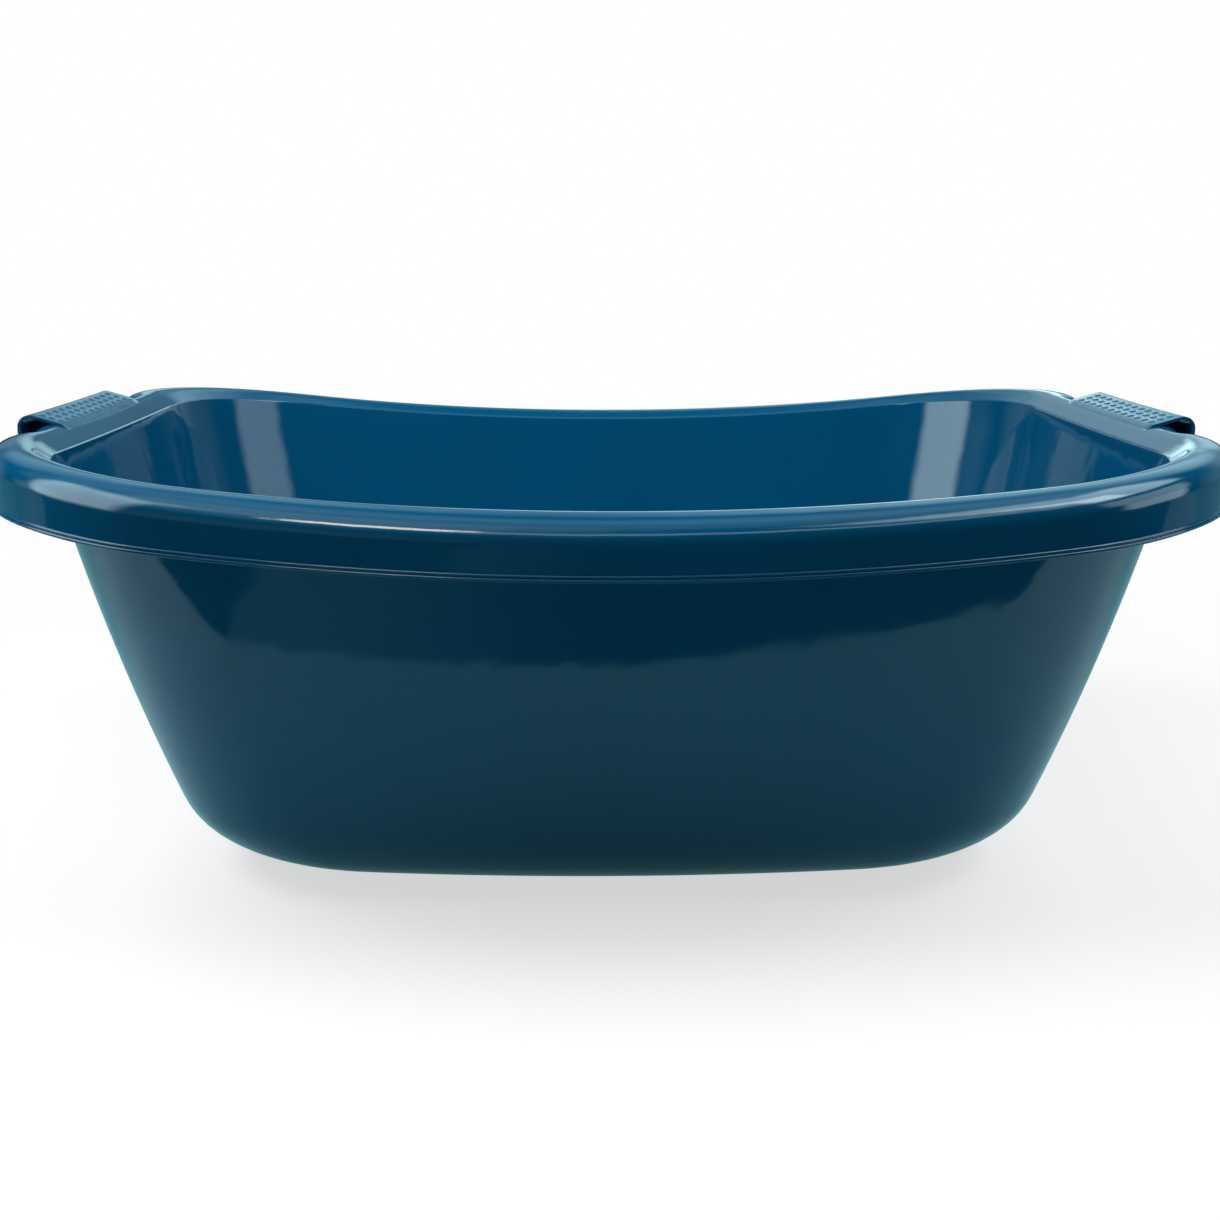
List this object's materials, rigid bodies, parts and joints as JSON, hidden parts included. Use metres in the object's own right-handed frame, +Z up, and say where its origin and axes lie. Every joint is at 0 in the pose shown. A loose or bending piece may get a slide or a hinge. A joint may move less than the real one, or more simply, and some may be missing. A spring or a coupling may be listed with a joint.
{
  "type": "plastic basin",
  "caption": "Oblong plastic basin with a tapering tub, a rolled rim that dips along its long sides, a low foot ring and a curled, dotted grip at each end.",
  "frame": {"origin": "middle of the foot ring's underside, on the surface the basin stands on", "axes": "+X along the basin towards the right grip, +Y across it towards the back, +Z up"},
  "size_m": [0.5354, 0.3988, 0.2093],
  "materials": {
    "tub_plastic": "glossy petrol blue moulded polypropylene",
    "rim_plastic": "glossy petrol blue moulded polypropylene",
    "foot_plastic": "glossy petrol blue moulded polypropylene",
    "grip_plastic": "glossy petrol blue moulded polypropylene, dotted on top"
  },
  "bodies": {
    "root": {"tub": "tub_plastic", "rim": "rim_plastic", "foot_ring": "foot_plastic", "grip_left": "grip_plastic", "grip_right": "grip_plastic"}
  },
  "joints": []
}
